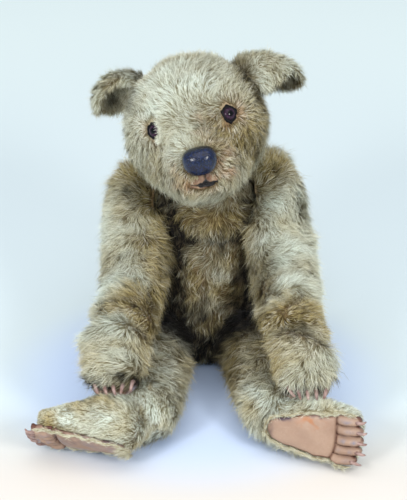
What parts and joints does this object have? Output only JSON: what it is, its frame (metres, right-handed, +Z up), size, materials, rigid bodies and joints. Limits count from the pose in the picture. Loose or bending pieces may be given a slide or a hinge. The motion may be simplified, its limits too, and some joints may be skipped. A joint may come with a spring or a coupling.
{
  "type": "teddy bear",
  "caption": "Worn seated mohair teddy bear with a tilted head, hooded ears, glass eyes, a moulded rubber muzzle, and rubber palms and soles with toes and claws.",
  "frame": {"origin": "centre of the bear's box on the plane it sits on", "axes": "+Z up; the bear faces -Y, so its own left is +X; legs and arms reach out along -Y"},
  "size_m": [0.3418, 0.3794, 0.3519],
  "materials": {
    "plush": "long mohair pile on woven cotton backing, greyed tips over golden-brown roots, thin and matted with age",
    "stuffing": "loose fibre filling, unseen inside the covers",
    "rubber": "aged moulded rubber, satin, cracked and worn grey on the high points",
    "nose_paint": "rubber nose painted glossy blue-black",
    "eye_glass": "dark solid glass, polished",
    "wire": "plain steel wire shank"
  },
  "bodies": {
    "root": {"head_cover": "plush", "ear_left": "plush", "ear_right": "plush", "face_mask": "rubber", "nose": "nose_paint", "eye_left": "eye_glass", "eye_wire_left": "wire", "eye_right": "eye_glass", "eye_wire_right": "wire", "head_stuffing": "stuffing", "torso_cover": "plush", "torso_stuffing": "stuffing", "arm_cover_left": "plush", "arm_stuffing_left": "stuffing", "palm_pad_left": "rubber", "leg_cover_left": "plush", "leg_stuffing_left": "stuffing", "sole_pad_left": "rubber", "arm_cover_right": "plush", "arm_stuffing_right": "stuffing", "palm_pad_right": "rubber", "leg_cover_right": "plush", "leg_stuffing_right": "stuffing", "sole_pad_right": "rubber"}
  },
  "joints": []
}
